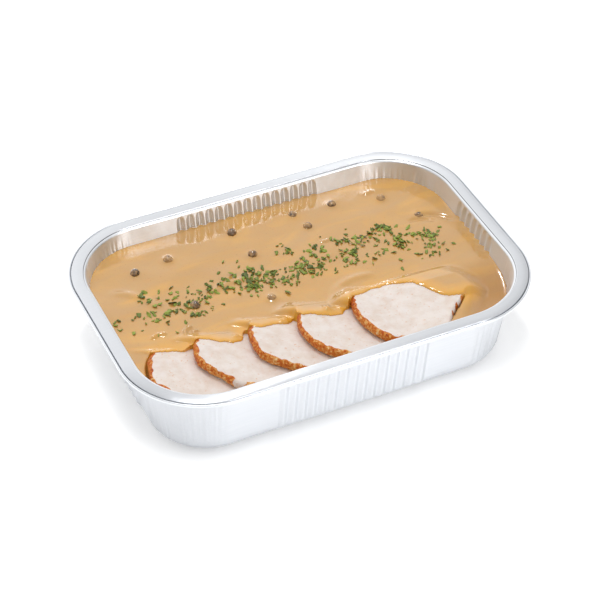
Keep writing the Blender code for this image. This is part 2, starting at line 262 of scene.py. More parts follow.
def rolled_foil():
    """Bare rolled aluminium foil, whose fine lines draw reflections out across them, duller inside."""
    made, tree, shader, place = new_material("rolled_aluminium_foil")
    shader.inputs["Metallic"].default_value = 1.0
    shader.inputs["Anisotropic"].default_value = 0.8
    shader.inputs["Anisotropic Rotation"].default_value = 0.25
    way_round = add(tree, "ShaderNodeTangent", direction_type="RADIAL", axis="Z")
    tree.links.new(way_round.outputs["Tangent"], shader.inputs["Tangent"])
    # The real lines are too fine to show, so these are drawn 0.4 to 1.1 mm wide.
    lines = add(tree, "ShaderNodeMapping", {"Vector": (place, "Object"), "Scale": (40, 2400, 900)})
    rolled = add(tree, "ShaderNodeTexNoise", {"Vector": (lines, "Vector"), "Scale": 1.0, "Detail": 3.0})
    dents = add(tree, "ShaderNodeTexNoise", {"Vector": (place, "Object"), "Scale": 90.0, "Detail": 2.0})
    shade = add(
        tree, "ShaderNodeMix",
        {0: (rolled, "Fac"), 6: linear("#E6E9EE"), 7: linear("#F0F2F5")}, data_type="RGBA",
    )
    # Painted shade: this attribute darkens the foil towards dark grey in the rim's step and groove, on the
    # sides and near the front corners.
    dull = add(tree, "ShaderNodeAttribute", attribute_name="dull")
    painted_shade_colour = add(
        tree, "ShaderNodeMix",
        {0: (dull, "Fac"), 6: (shade, 2), 7: linear("#5A5C62")}, data_type="RGBA",
    )
    tree.links.new(painted_shade_colour.outputs[2], shader.inputs["Base Color"])
    matt = add(tree, "ShaderNodeAttribute", attribute_name="matt")
    rough = add(tree, "ShaderNodeMapRange", {"Value": (matt, "Fac"), "To Min": 0.3, "To Max": 0.35})
    spread = add(
        tree, "ShaderNodeMath",
        {0: (dents, "Fac"), 1: 0.08, 2: (rough, "Result")}, operation="MULTIPLY_ADD",
    )
    tree.links.new(spread.outputs[0], shader.inputs["Roughness"])
    fine = add(tree, "ShaderNodeBump", {"Height": (rolled, "Fac"), "Strength": 0.06, "Distance": 0.0002})
    soft = add(
        tree, "ShaderNodeBump",
        {"Height": (dents, "Fac"), "Strength": 0.18, "Distance": 0.001, "Normal": (fine, "Normal")},
    )
    tree.links.new(soft.outputs["Normal"], shader.inputs["Normal"])
    return made


stations = mouth_outline()
mouth_x, mouth_y, outward_x, outward_y, rib_share, rib_phase, corner, way_round_mm = stations.T
station_count = len(stations)
section = wall_section(FOIL) + rim_section() + list(reversed(wall_section(0.0)))
rib_start = RIB_TOP_BELOW_RIM + RIB_ARCH * (2 * rib_phase - 1) ** 2
tray_points = []
for grow, z, formed in section:
    below = HEIGHT - z
    rib = RIB_DEPTH * rib_share * smoothstep((below - rib_start) / RIB_TOP_ROUND)
    rib = rib * smoothstep((z - RIB_FOOT) / RIB_FOOT_ROUND)
    level = np.full(station_count, z)
    rings = np.column_stack([way_round_mm * WRINKLES_PER_MM, level * WRINKLE_LEAN, np.zeros(station_count)])
    wrinkle = noise_at(rings, 1.0) * smoothstep(corner * 3)
    wrinkle = wrinkle * smoothstep((below - WRINKLE_TOP_BELOW_RIM) / WRINKLE_TOP_FADE)
    wrinkle = wrinkle * smoothstep((z - WRINKLE_FOOT) / WRINKLE_FOOT_FADE)
    out = grow + formed * (rib + WRINKLE_DEPTH * wrinkle)
    tray_points.append(np.column_stack([mouth_x + outward_x * out, mouth_y + outward_y * out, level]))
tray = grid_piece("foil_tray", station_count - 1, len(section) - 1, np.concatenate(tray_points))

# Painted shade on the foil: darkest in the rim's step and groove, where shade falls, and darker on the sides
# and near the two front corners, which get less light.
wall_rows = len(wall_section(0.0))
row_numbers = np.arange(len(section))
painted_shade_rows = np.where(row_numbers < wall_rows, WALL_PAINTED_SHADE, 0.0)
for row, (grow, z, _formed) in enumerate(section):
    if 1.0 < grow < 1.2 and HEIGHT - 0.6 < z < HEIGHT - 0.1:
        painted_shade_rows[row] = STEP_PAINTED_SHADE
    if z == HEIGHT:
        painted_shade_rows[row] = FLANGE_PAINTED_SHADE
    if FLANGE_WIDTH < grow < FLANGE_WIDTH + 0.6 and HEIGHT - 1.6 < z < HEIGHT - 1.2:
        painted_shade_rows[row] = GROOVE_PAINTED_SHADE
near_left = corner * (mouth_x < 0) * (mouth_y < 0)
near_right = corner * (mouth_x > 0) * (mouth_y < 0)
dull = painted_shade_rows[:, None]
on_wall = dull == WALL_PAINTED_SHADE
left_painted_shade = np.where(on_wall, NEAR_LEFT_WALL_PAINTED_SHADE, NEAR_LEFT_RIM_PAINTED_SHADE)
right_painted_shade = np.where(on_wall, NEAR_RIGHT_WALL_PAINTED_SHADE, NEAR_RIGHT_RIM_PAINTED_SHADE)
dull = dull * (1 + left_painted_shade * near_left + right_painted_shade * near_right)
dull += np.where(on_wall, SIDES_PAINTED_SHADE, 0.0) * (1 - smoothstep(-outward_y))
set_attribute(tray.data, "dull", dull.ravel())
inside_rows = (row_numbers >= len(section) - wall_rows).astype(float)
set_attribute(tray.data, "matt", np.repeat(inside_rows, station_count))
close_tray_floor()
bpy.ops.object.shade_smooth_by_angle(angle=math.radians(40))
tray.data.materials.append(rolled_foil())
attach(tray, "root")
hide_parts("tray")

# Meat slices.
# Five slices cut from a roast, pale and moist inside, with a browned and seasoned outside.
# They lean on each other like roof tiles, and each is the solid of its node with finer relief.

SLICE_COUNT = 5
SLICE_GRAIN = 0.6
CRUST_DEPTH = 2.3
CRUST_EDGE = 0.9
FACE_RELIEF_FINE = 0.05
FACE_RELIEF_BROAD = 0.1
CRUST_RELIEF_FINE = 0.2
CRUST_RELIEF_BROAD = 0.28

# Marks at the slices' edges: the slice's number, x, y, half its size in x and y, and how deep the tear is.
# A mark with a negative depth bares the flesh, and any other one browns it.
CRUST_MARKS = (
    (2, -59.5, -57.5, 3.2, 3.0, -0.1), (2, -65.0, -56.5, 1.2, 3.0, 2.2), (2, -60.5, -61.5, 2.2, 1.4, 0.0),
    (5, 76.0, -39.0, 2.2, 4.0, 0.0), (5, 67.5, -50.5, 1.7, 2.6, 0.4), (5, 62.5, -55.5, 1.2, 2.6, 0.0),
)


def roast_meat():
    """Cooked white meat, wet and slightly see-through, with a seasoned crust browned in the oven."""
    made, tree, shader, place = new_material("roast_white_meat")
    shader.inputs["Roughness"].default_value = 0.45
    shader.inputs["Specular IOR Level"].default_value = 0.3
    shader.inputs["Subsurface Weight"].default_value = 0.12
    shader.inputs["Subsurface Scale"].default_value = 0.002
    shader.inputs["Subsurface Radius"].default_value = (1.0, 0.6, 0.4)
    mottle = add(
        tree, "ShaderNodeTexNoise",
        {"Vector": (place, "Object"), "Scale": 160.0, "Detail": 6.0, "Roughness": 0.6},
    )
    fibre = add(tree, "ShaderNodeTexNoise", {"Vector": (place, "Object"), "Scale": 1100.0, "Detail": 3.0})
    flesh = add(
        tree, "ShaderNodeValToRGB", {"Fac": (mottle, "Fac")}, stops=((0.3, "#E1D0C3"), (0.6, "#ECE2DB")),
    )
    spice = add(tree, "ShaderNodeTexNoise", {"Vector": (place, "Object"), "Scale": 620.0, "Detail": 2.0})
    specks = add(
        tree, "ShaderNodeMapRange",
        {"Value": (spice, "Fac"), "From Min": 0.64, "From Max": 0.74, "To Max": 0.5},
    )
    inside = add(
        tree, "ShaderNodeMix",
        {0: (specks, "Result"), 6: (flesh, "Color"), 7: linear("#D79A5E")}, data_type="RGBA",
    )
    browned = add(
        tree, "ShaderNodeTexNoise",
        {"Vector": (place, "Object"), "Scale": 700.0, "Detail": 5.0, "Roughness": 0.65},
    )
    scorch = add(tree, "ShaderNodeAttribute", attribute_name="scorch")
    heat = add(
        tree, "ShaderNodeMath",
        {0: (scorch, "Fac"), 1: -0.2, 2: (browned, "Fac")}, operation="MULTIPLY_ADD",
    )
    crust = add(
        tree, "ShaderNodeValToRGB", {"Fac": (heat, 0)},
        stops=(
            (0.18, "#86340A"), (0.31, "#B8540F"), (0.4, "#C96C1E"), (0.48, "#D68B38"), (0.56, "#E6B570"),
            (0.64, "#F2DDB6"),
        ),
    )
    mask = add(tree, "ShaderNodeAttribute", attribute_name="crust")
    ragged = add(tree, "ShaderNodeMath", {0: (browned, "Fac"), 1: -0.5}, operation="ADD")
    spread = add(
        tree, "ShaderNodeMath", {0: (ragged, 0), 1: 1.6, 2: (mask, "Fac")}, operation="MULTIPLY_ADD",
    )
    cut = add(tree, "ShaderNodeMapRange", {"Value": (spread, 0), "From Min": 0.4, "From Max": 0.6})
    colour = add(
        tree, "ShaderNodeMix",
        {0: (cut, "Result"), 6: (inside, 2), 7: (crust, "Color")}, data_type="RGBA",
    )
    tree.links.new(colour.outputs[2], shader.inputs["Base Color"])
    height = add(
        tree, "ShaderNodeMath",
        {0: (mottle, "Fac"), 1: 1.0, 2: (fibre, "Fac")}, operation="MULTIPLY_ADD",
    )
    bump = add(tree, "ShaderNodeBump", {"Height": (height, 0), "Strength": 0.22, "Distance": 0.0004})
    tree.links.new(bump.outputs["Normal"], shader.inputs["Normal"])
    return made


def refine_slice(node):
    """A copy of a slice's solid with an even fine skin."""
    bpy.ops.object.select_all(action="DESELECT")
    piece = bpy.data.objects.new(node.name.replace("meat", "roast"), node.data.copy())
    bpy.context.scene.collection.objects.link(piece)
    piece.data.materials.clear()
    bpy.context.view_layer.objects.active = piece
    piece.select_set(True)
    bpy.ops.object.mode_set(mode="EDIT")
    bpy.ops.mesh.select_all(action="SELECT")
    bpy.ops.mesh.remove_doubles(threshold=1e-6)
    bpy.ops.object.mode_set(mode="OBJECT")
    skin = piece.modifiers.new("skin", "REMESH")
    skin.mode = "VOXEL"
    skin.voxel_size = SLICE_GRAIN * MM
    soften = piece.modifiers.new("soften", "SMOOTH")
    soften.iterations = 3
    bpy.ops.object.modifier_apply(modifier=skin.name)
    bpy.ops.object.modifier_apply(modifier=soften.name)
    return piece


def read_points(mesh, name):
    """The points' places ("co") or normals ("normal") as rows of an array."""
    values = np.empty(len(mesh.vertices) * 3)
    mesh.vertices.foreach_get(name, values)
    return values.reshape(-1, 3)


def depth_from_side(solid, centre, offset):
    """How far points, given from a slice's centre, lie inside the outline of its solid."""
    corners = geometry.convex_hull_2d([Vector(corner) for corner in solid[:, :2]])
    hull = solid[corners][:, :2] - centre
    turns = np.arctan2(hull[:, 1], hull[:, 0])
    order = np.argsort(turns)
    reaches = np.hypot(*hull.T)
    point_turns = np.arctan2(offset[:, 1], offset[:, 0])
    outline = np.interp(point_turns, turns[order], reaches[order], period=2 * np.pi)
    return outline - np.hypot(offset[:, 0], offset[:, 1])


def depth_from_top(points, normals, offset):
    """How far points lie below the plane that fits a slice's upper face best."""
    upper = normals[:, 2] > 0.9
    plane = np.column_stack([offset[upper], np.ones(upper.sum())])
    tilt = np.linalg.lstsq(plane, points[upper, 2], rcond=None)[0]
    return offset @ tilt[:2] + tilt[2] - points[:, 2]


def dress_slice(piece, node, number):
    """Grains the cut face, roughens and tears the browned edge, and marks how browned each point is."""
    solid = read_points(node.data, "co") / MM
    low, high = solid.min(axis=0), solid.max(axis=0)
    centre = (low + high)[:2] / 2
    points = read_points(piece.data, "co") / MM
    normals = read_points(piece.data, "normal")
    offset = points[:, :2] - centre
    wander = noise_at(points, 3.2)
    left_side = smoothstep((centre[0] - points[:, 0]) / 6.0 + 0.5)
    band = CRUST_DEPTH * (0.45 + 0.55 * left_side) * (1.0 + 0.6 * wander)
    crust = smoothstep((band - depth_from_side(solid, centre, offset)) / CRUST_EDGE + 0.5)
    along = (points[:, 1] - low[1]) / (high[1] - low[1])
    paler_below = np.maximum(0.0, depth_from_top(points, normals, offset) - 2.0)
    scorch = 0.15 + 0.75 * along - 0.1 * paler_below + 0.55 * noise_at(points + 7, 6.0)
    face = FACE_RELIEF_FINE * noise_at(points, 1.7) + FACE_RELIEF_BROAD * noise_at(points, 8.0)
    crag = CRUST_RELIEF_FINE * noise_at(points + 40, 1.1) + CRUST_RELIEF_BROAD * wander
    lift = face * (1 - crust) + crag * crust
    for marked, x, y, half_x, half_y, depth in CRUST_MARKS:
        if marked == number:
            spot = np.hypot((points[:, 0] - x) / half_x, (points[:, 1] - y) / half_y)
            mark = smoothstep(1.5 - spot - 0.35 * noise_at(points + 3, 1.6))
            crust = crust * (1 - mark) if depth < 0 else np.maximum(crust, mark)
            scorch = scorch + mark * (0.25 + 0.45 * depth)
            lift = lift - depth * mark
    points += normals * lift[:, None]
    piece.data.vertices.foreach_set("co", (points * MM).ravel())
    set_attribute(piece.data, "crust", crust)
    set_attribute(piece.data, "scorch", scorch)
    piece.data.update()


meat = roast_meat()
for number in range(1, SLICE_COUNT + 1):
    solid_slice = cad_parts[f"meat_slice_{number}"]
    roast_slice = refine_slice(solid_slice)
    dress_slice(roast_slice, solid_slice, number)
    bpy.ops.object.shade_smooth()
    roast_slice.data.materials.append(meat)
    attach(roast_slice, "root")
    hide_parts(solid_slice.name)

# Sauce.
# A thick cream sauce with stock, poured round the slices and over their far ends, where it stands proud.
# It fills the tray to 12 mm below the rim, climbs the foil a little and lies lower in the near right corner.

# The slices as the solids have them: left edge, half width, middle in y, how blunt the outline is at the
# far left and at the near left, and the y to which the left side is bare of sauce.
SLICES = (
    (-99.5, 29.5, -36.5, 2.1, 2.1, -18.5),
    (-73.5, 30.5, -37.0, 2.4, 1.6, -20.0),
    (-43.5, 30.0, -37.5, 2.4, 1.7, -20.0),
    (-17.0, 30.5, -37.5, 2.4, 2.1, -22.6),
    (14.5, 32.0, -39.5, 2.4, 2.4, -30.0),
)
SLICE_HALF_LENGTH = 27.5
SLICE_TOP = 42.3
SLICE_STEP = 6.1
SLICE_SLOPE = (len(SLICES) - 1) * SLICE_STEP / (SLICES[-1][0] - SLICES[0][0])
FAR_END_FOLDS = ((-27.0, 0.22), (-18.5, 0.28))
LAST_SLICE_BEND = 12.0
LAST_SLICE_BEND_RUN = 20.0
LAST_SLICE_END_SLOPE = 0.04
LAST_SLICE_BARE_RIM = 1.6
LAST_SLICE_BARE_REACH = 4.0
FAR_RIGHT_SIDE = 2.0
NEAR_RIGHT_SIDE = 1.25
LAST_NEAR_RIGHT_SIDE = 1.12
SAUCE_LEVEL = 36.4
SAUCE_TILT = 0.006
SAUCE_COVER = 1.2
SAUCE_EDGE_ROUND = 3.2
SAUCE_EDGE_WANDER = 0.9
SAUCE_UNDER_MEAT = 3.0
SAUCE_WAVE = 0.7
SAUCE_RIPPLE = 0.22
RIDGE_SHORT_REACH = 0.04
RIDGE_LONG_REACH = 0.42
RIDGE_CLIMB = 9.0
RIDGE_START = 0.96
RIDGE_START_CLIMB = 0.06
RIDGE_RIGHT_POWER = 1.8
RIDGE_BLEND = 8
LOW_CORNER = (92.0, -52.0)
LOW_CORNER_DEPTH = 6.5
LOW_CORNER_REACH = 34.0
LOW_CORNER_POOL_AND_PAINTED_SHADE = 0.6
FOLD_FADE = 20.0
SAUCE_CLIMB = 0.5
SAUCE_CLIMB_REACH = 1.1
SAUCE_CELL = 0.62
SAUCE_IN_FOIL = 0.2
SAUCE_SIDE_GAP = 0.3
SAUCE_SIDE_ROWS = (24.0, BASE_FILLET, 4.0, 1.0)

# Curled ripples, grooves and drops: middle x and y, radius, width, rise, and the degrees they run between.
SAUCE_FOLDS = (
    (-82.0, -11.5, 6.0, 1.1, 1.3, 45, 140), (-65.0, -11.0, 4.2, 1.0, 1.3, 70, 200),
    (-64.0, -12.0, 1.6, 0.9, 1.1, 20, 160), (-19.0, -22.3, 0.0, 2.3, 1.7, 0, 360),
    (4.0, -25.3, 0.0, 2.2, 1.6, 0, 360), (-47.0, -24.0, 0.0, 1.6, 1.1, 0, 360),
    (28.0, 33.0, 5.0, 0.9, 0.8, 230, 310), (46.0, 27.0, 6.0, 0.9, 0.8, 230, 300),
    (69.0, 50.0, 7.0, 1.4, 0.8, 60, 130), (82.0, 8.0, 20.0, 1.6, -1.2, 20, 95),
    (80.0, 12.0, 13.0, 1.4, -0.8, 30, 110), (-100.0, 10.0, 26.0, 2.5, 0.7, 0, 80),
    (-30.0, -8.0, 26.0, 2.2, 0.7, 60, 130), (30.0, -30.0, 24.0, 2.4, 0.7, 60, 140),
)

# The line on the meat where the sauce ends.
SAUCE_EDGE = (
    (-106.0, -18.0), (-93.0, -19.0), (-86.5, -18.7), (-80.0, -20.0), (-74.5, -22.3), (-70.5, -20.0),
    (-65.0, -20.0), (-60.5, -22.0), (-56.0, -25.7), (-50.5, -28.2), (-44.0, -27.5), (-40.5, -20.0),
    (-37.0, -24.3), (-32.5, -25.5), (-26.0, -24.2), (-18.0, -26.0), (-14.0, -22.6), (-10.8, -28.0),
    (-5.0, -28.0), (3.5, -31.2), (10.0, -31.4), (14.5, -28.0), (19.0, -24.3), (23.5, -22.3), (33.0, -19.5),
    (40.0, -19.7), (48.0, -22.0), (54.0, -25.0), (58.3, -32.0), (61.5, -38.0), (66.0, -42.6), (78.0, -43.2),
    (106.0, -43.2),
)

# Each peppercorn: x, y, how proud it stands, and how much of it the sauce coats.
PEPPERCORNS = (
    (-75.0, 45.0, 0.4, 0.1), (-55.0, 48.0, -0.4, 0.9), (-15.0, 55.0, 0.4, 0.3), (-12.0, 34.0, -0.2, 0.6),
    (25.0, 43.5, -0.5, 0.7), (45.0, 55.5, -0.9, 0.6), (21.5, 56.0, -1.5, 0.5), (72.0, 49.0, -1.2, 0.9),
    (84.5, 28.0, -1.2, 0.9), (-56.0, 8.0, 0.9, 0.3), (-17.5, -3.0, -1.6, 1.0),
)
PEPPERCORN_MOUND = 0.3
PEPPERCORN_COAT_MOUND = 0.9
PEPPERCORN_MOUND_REACH = 3.0


def slice_top(index, x, y):
    """The height of a slice's upper face: each leans on the one to its left, and their far ends sink."""
    height = SLICE_TOP + index * SLICE_STEP - (x - SLICES[0][0]) * SLICE_SLOPE
    for fold, slope in FAR_END_FOLDS:
        height = height - slope * np.maximum(0.0, y - fold)
    if index == len(SLICES) - 1:
        past = np.maximum(0.0, x - SLICES[index][0] - LAST_SLICE_BEND)
        height = height + past * (SLICE_SLOPE - LAST_SLICE_END_SLOPE) * smoothstep(past / LAST_SLICE_BEND_RUN)
    return height


def edge_distance(x, y):
    """How far a place lies beyond the line where the sauce ends. It is negative on the bare side."""
    nearest = np.full(x.shape, 1e9)
    for (x0, y0), (x1, y1) in zip(SAUCE_EDGE, SAUCE_EDGE[1:]):
        run = np.clip(((x - x0) * (x1 - x0) + (y - y0) * (y1 - y0)) / ((x1 - x0) ** 2 + (y1 - y0) ** 2), 0, 1)
        nearest = np.minimum(nearest, np.hypot(x - x0 - run * (x1 - x0), y - y0 - run * (y1 - y0)))
    return np.where(y > np.interp(x, *zip(*SAUCE_EDGE)), nearest, -nearest)


def slice_places(index, x, y):
    """Where places lie in a slice's outline: across it and along it, -1 to 1 from edge to edge."""
    left, half_width, middle_y = SLICES[index][:3]
    return (x - left - half_width) / half_width, (y - middle_y) / SLICE_HALF_LENGTH


def outline_size(across, along, power):
    """1 on a slice's outline, less inside it and more outside, for an outline as blunt as the power says."""
    return (np.abs(across) ** power + np.abs(along) ** power) ** (1 / power)


def still_sauce(x, y):
    """The sauce's level away from the meat: it lies lower in one corner and is never quite flat."""
    low = np.hypot(x - LOW_CORNER[0], y - LOW_CORNER[1])
    level = SAUCE_LEVEL - LOW_CORNER_DEPTH * smoothstep(1 - low / LOW_CORNER_REACH) - SAUCE_TILT * x
    level += SAUCE_WAVE * noise_at(np.column_stack([x * 0.035, y * 0.045, np.full(x.shape, 3.7)]), 1.0)
    level += SAUCE_RIPPLE * noise_at(np.column_stack([x, y, np.full(x.shape, 9.0)]), 11.0)
    return level


def fold_rise(x, y):
    """How far the ripples and drops, and the mounds over the peppercorns, lift the sauce."""
    rises = np.zeros(x.shape)
    for cx, cy, radius, width, rise, start, end in SAUCE_FOLDS:
        span = np.ones(x.shape)
        if end - start < 360:
            turn = np.degrees(np.arctan2(y - cy, x - cx)) % 360
            span = smoothstep((turn - start) / FOLD_FADE) * smoothstep((end - turn) / FOLD_FADE)
        rises += rise * span * np.exp(-((np.hypot(x - cx, y - cy) - radius) / width) ** 2)
    for px, py, _proud, coat in PEPPERCORNS:
        away = np.hypot(x - px, y - py) / PEPPERCORN_MOUND_REACH
        rises += (PEPPERCORN_MOUND + PEPPERCORN_COAT_MOUND * coat) * np.exp(-away ** 2)
    return rises


def sauce_heights(x, y):
    """The sauce's surface at places in mm, how far they lie past its edge, and the share of meat."""
    level = still_sauce(x, y)
    wander = noise_at(np.column_stack([x, y, np.full(x.shape, 21.0)]), 5.0)
    past_edge = edge_distance(x, y) + SAUCE_EDGE_WANDER * wander
    cover = SAUCE_COVER * np.sqrt(1 - (1 - np.clip(past_edge / SAUCE_EDGE_ROUND, 0, 1)) ** 2)
    across, along = slice_places(len(SLICES) - 1, x, y)
    right_of_last = across > 0
    last_size = outline_size(across, along, np.where(along > 0, FAR_RIGHT_SIDE, LAST_NEAR_RIGHT_SIDE))
    beside = np.where(right_of_last, smoothstep((last_size - RIDGE_START) / 0.04), 0.0)
    cover = cover - LAST_SLICE_BARE_RIM * beside * smoothstep(1 - past_edge / LAST_SLICE_BARE_REACH)
    ridge, lowest, meat_share = np.zeros(x.shape), level.copy(), np.zeros(x.shape)
    for index, (_left, _half_width, _middle_y, far_left, near_left, bare_to) in enumerate(SLICES):
        across, along = slice_places(index, x, y)
        left_power = np.where(along > 0, far_left, near_left)
        right_power = np.where(along > 0, FAR_RIGHT_SIDE, NEAR_RIGHT_SIDE)
        power = np.maximum(np.where(across < 0, left_power, right_power), RIDGE_RIGHT_POWER)
        size = outline_size(across, along, power)
        climb = smoothstep((y - bare_to) / RIDGE_CLIMB)
        if index == len(SLICES) - 1:
            size = np.where(right_of_last, last_size, size)
            climb = np.where(right_of_last, 1.0, climb)
        reach = RIDGE_SHORT_REACH + (RIDGE_LONG_REACH - RIDGE_SHORT_REACH) * climb
        share = smoothstep((RIDGE_START + RIDGE_START_CLIMB * climb + reach - size) / reach)
        top = slice_top(index, x, y)
        ridge += (np.maximum(0.0, top + cover - level) * share) ** RIDGE_BLEND
        lowest = np.where(share > 0, np.minimum(lowest, top), lowest)
        meat_share = np.maximum(meat_share, share)
    over = level + ridge ** (1 / RIDGE_BLEND)
    under = lowest - SAUCE_UNDER_MEAT * meat_share
    height = np.where((past_edge > 0) | (beside > 0.5), over, under) + fold_rise(x, y)
    return height, past_edge, meat_share


def tray_distance(x, y, z):
    """How far a place lies inside the wall's inner face at a height, and the way to that face."""
    grow = wall_grow(z)
    radius = MOUTH_RADIUS + grow
    corner_x, corner_y = MOUTH_X + grow - radius, MOUTH_Y + grow - radius
    over_x, over_y = np.abs(x) - corner_x, np.abs(y) - corner_y
    rib = np.zeros(x.shape)
    for place, ribs, beyond in ((x, LONG_SIDE_RIBS, over_y - over_x), (y, SHORT_SIDE_RIBS, over_x - over_y)):
        zone = ribs * RIB_PITCH / 2
        wave = RIB_DEPTH * rib_wave(((place + zone) / RIB_PITCH) % 1.0)
        rib = np.where((np.abs(place) < zone) & (beyond > 0), wave, rib)
    in_corner = (over_x > 0) & (over_y > 0)
    reach = np.where(in_corner, np.hypot(over_x, over_y), np.maximum(over_x, over_y))
    way_x = np.where(in_corner, over_x / np.maximum(reach, 1e-9), over_x >= over_y) * np.sign(x)
    way_y = np.where(in_corner, over_y / np.maximum(reach, 1e-9), over_x < over_y) * np.sign(y)
    return radius + rib - reach, way_x, way_y


def close_sauce(mesh, outside):
    """Trims the surface to the tray, draws its border down inside the foil and closes it at the floor."""
    bm = bmesh.new()
    bm.from_mesh(mesh)
    bm.verts.ensure_lookup_table()
    bmesh.ops.delete(bm, geom=[bm.verts[i] for i in outside], context="VERTS")
    bmesh.ops.dissolve_degenerate(bm, dist=1e-5, edges=bm.edges)
    border = [edge for edge in bm.edges if edge.is_boundary]
    for z in SAUCE_SIDE_ROWS:
        made = bmesh.ops.extrude_edge_only(bm, edges=border)["geom"]
        border = [part for part in made if isinstance(part, bmesh.types.BMEdge)]
        inset = SAUCE_SIDE_GAP + RIB_DEPTH + max(0.0, BASE_FILLET - z)
        for vert in (part for part in made if isinstance(part, bmesh.types.BMVert)):
            x, y = np.array([vert.co.x / MM]), np.array([vert.co.y / MM])
            gap, out_x, out_y = tray_distance(x, y, max(z, BASE_FILLET))
            shift = float(gap[0]) - inset
            vert.co = (vert.co.x + out_x[0] * shift * MM, vert.co.y + out_y[0] * shift * MM, z * MM)
    bmesh.ops.holes_fill(bm, edges=border, sides=0)
    bmesh.ops.recalc_face_normals(bm, faces=bm.faces)
    bm.to_mesh(mesh)
    bm.free()


def cream_sauce():
    """Cream and stock thickened with flour: opaque, glossy, warmer where thin, and browner where it pools,
    with painted shade there too.
    """
    made, tree, shader, place = new_material("cream_and_stock_sauce")
    shader.inputs["Roughness"].default_value = 0.16
    shader.inputs["Coat Weight"].default_value = 0.9
    shader.inputs["Coat Roughness"].default_value = 0.06
    shader.inputs["Subsurface Weight"].default_value = 0.08
    shader.inputs["Subsurface Scale"].default_value = 0.002
    flow = add(
        tree, "ShaderNodeMapping",
        {"Vector": (place, "Object"), "Rotation": (0, 0, 0.35), "Scale": (22, 60, 60)},
    )
    cloud = add(
        tree, "ShaderNodeTexNoise",
        {"Vector": (flow, "Vector"), "Scale": 1.0, "Detail": 4.0, "Distortion": 1.2},
    )
    body = add(
        tree, "ShaderNodeValToRGB", {"Fac": (cloud, "Fac")},
        stops=((0.36, "#CB9B59"), (0.52, "#D09D53"), (0.66, "#DAA34C")),
    )
    thin = add(tree, "ShaderNodeAttribute", attribute_name="thin")
    warm = add(
        tree, "ShaderNodeMix",
        {0: (thin, "Fac"), 6: (body, "Color"), 7: linear("#E8A938")}, data_type="RGBA",
    )
    specks = add(tree, "ShaderNodeTexNoise", {"Vector": (place, "Object"), "Scale": 1500.0, "Detail": 2.0})
    seen = add(
        tree, "ShaderNodeMapRange",
        {"Value": (specks, "Fac"), "From Min": 0.66, "From Max": 0.74, "To Max": 0.5},
    )
    speckled = add(
        tree, "ShaderNodeMix",
        {0: (seen, "Result"), 6: (warm, 2), 7: linear("#A87140")}, data_type="RGBA",
    )
    # Painted shade: the pool in the near right corner is mixed towards a darker brown, partly for the deeper
    # sauce and partly for the shade there.
    deep = add(tree, "ShaderNodeAttribute", attribute_name="deep")
    stock = add(
        tree, "ShaderNodeMix",
        {0: (deep, "Fac"), 6: (speckled, 2), 7: linear("#B27B3E")}, data_type="RGBA",
    )
    tree.links.new(stock.outputs[2], shader.inputs["Base Color"])
    skin = add(tree, "ShaderNodeTexNoise", {"Vector": (place, "Object"), "Scale": 330.0, "Detail": 3.0})
    bump = add(tree, "ShaderNodeBump", {"Height": (skin, "Fac"), "Strength": 0.16, "Distance": 0.0005})
    tree.links.new(bump.outputs["Normal"], shader.inputs["Normal"])
    return made


columns = round(2 * (MOUTH_X + 1) / SAUCE_CELL)
rows = round(2 * (MOUTH_Y + 1) / SAUCE_CELL)
grid_x = np.tile(np.linspace(-MOUTH_X - 1, MOUTH_X + 1, columns + 1), rows + 1)
grid_y = np.repeat(np.linspace(-MOUTH_Y - 1, MOUTH_Y + 1, rows + 1), columns + 1)
inside, way_x, way_y = tray_distance(grid_x, grid_y, SAUCE_LEVEL)
to_wall = inside + SAUCE_IN_FOIL
beyond_wall = to_wall <= -SAUCE_CELL * 1.5
snap = np.where((to_wall < SAUCE_CELL * 0.45) & ~beyond_wall, to_wall, 0.0)
grid_x = grid_x + way_x * snap
grid_y = grid_y + way_y * snap
heights, past_edge, meat_share = sauce_heights(grid_x, grid_y)
heights += SAUCE_CLIMB * np.exp(-np.maximum(inside, 0.0) / SAUCE_CLIMB_REACH)
poking = np.minimum(tray_distance(grid_x, grid_y, heights)[0] + SAUCE_IN_FOIL, 0.0)
grid_x = grid_x + way_x * poking
grid_y = grid_y + way_y * poking
sauce = grid_piece("cream_sauce_poured", columns, rows, np.column_stack([grid_x, grid_y, heights]))
thin = np.clip(1.1 - np.abs(past_edge) / 8.0, 0, 1) * smoothstep(meat_share * 2)
# The low corner is browner for its deeper pool and darker with painted shade, away from the meat.
pool_and_painted_shade = smoothstep(1.25 - np.hypot(grid_x - LOW_CORNER[0], grid_y - LOW_CORNER[1]) / LOW_CORNER_REACH)
set_attribute(sauce.data, "thin", thin)
set_attribute(sauce.data, "deep", LOW_CORNER_POOL_AND_PAINTED_SHADE * pool_and_painted_shade * (1 - meat_share))
close_sauce(sauce.data, np.flatnonzero(beyond_wall))
bpy.ops.object.shade_smooth_by_angle(angle=math.radians(60))
sauce.data.materials.append(cream_sauce())
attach(sauce, "root")
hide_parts("cream_sauce")

# Peppercorns.
# Whole brown peppercorns cooked in the sauce, wrinkled by drying, most of them coated by it.

PEPPERCORN_RADIUS = 2.6
PEPPERCORN_PROUD_SHARE = 0.6
PEPPERCORN_SUNK = 0.6
PEPPERCORN_DENTS = 0.22
PEPPERCORN_WRINKLES = 0.12


